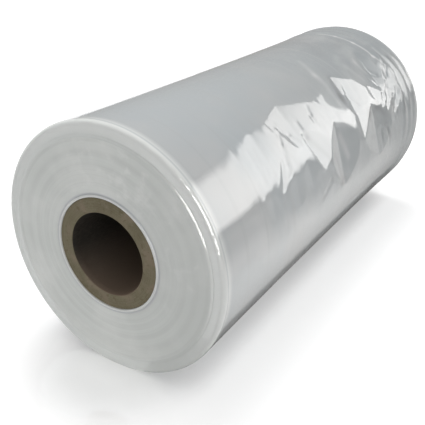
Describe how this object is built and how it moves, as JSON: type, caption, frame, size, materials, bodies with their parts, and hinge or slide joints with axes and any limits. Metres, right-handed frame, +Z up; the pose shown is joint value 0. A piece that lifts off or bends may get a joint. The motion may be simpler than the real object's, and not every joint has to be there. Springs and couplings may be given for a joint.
{
  "type": "roll of lay-flat tubing",
  "caption": "Clear lay-flat plastic tubing wound on a thick paperboard core, lying on its side, with crinkled outer turns and a through bore for a spindle.",
  "frame": {"origin": "on the surface that the roll lies on, under the middle of the roll", "axes": "+Z up, +Y along the roll's axis from the near, tighter end to the far, looser end, +X to the side with the folds"},
  "size_m": [0.2348, 0.508, 0.232],
  "materials": {
    "clear_film": "glossy clear film, milky where many turns lie on each other",
    "paperboard": "matt brown paperboard in wound plies"
  },
  "bodies": {
    "root": {"wound_film": "clear_film", "cardboard_core": "paperboard"}
  },
  "joints": []
}
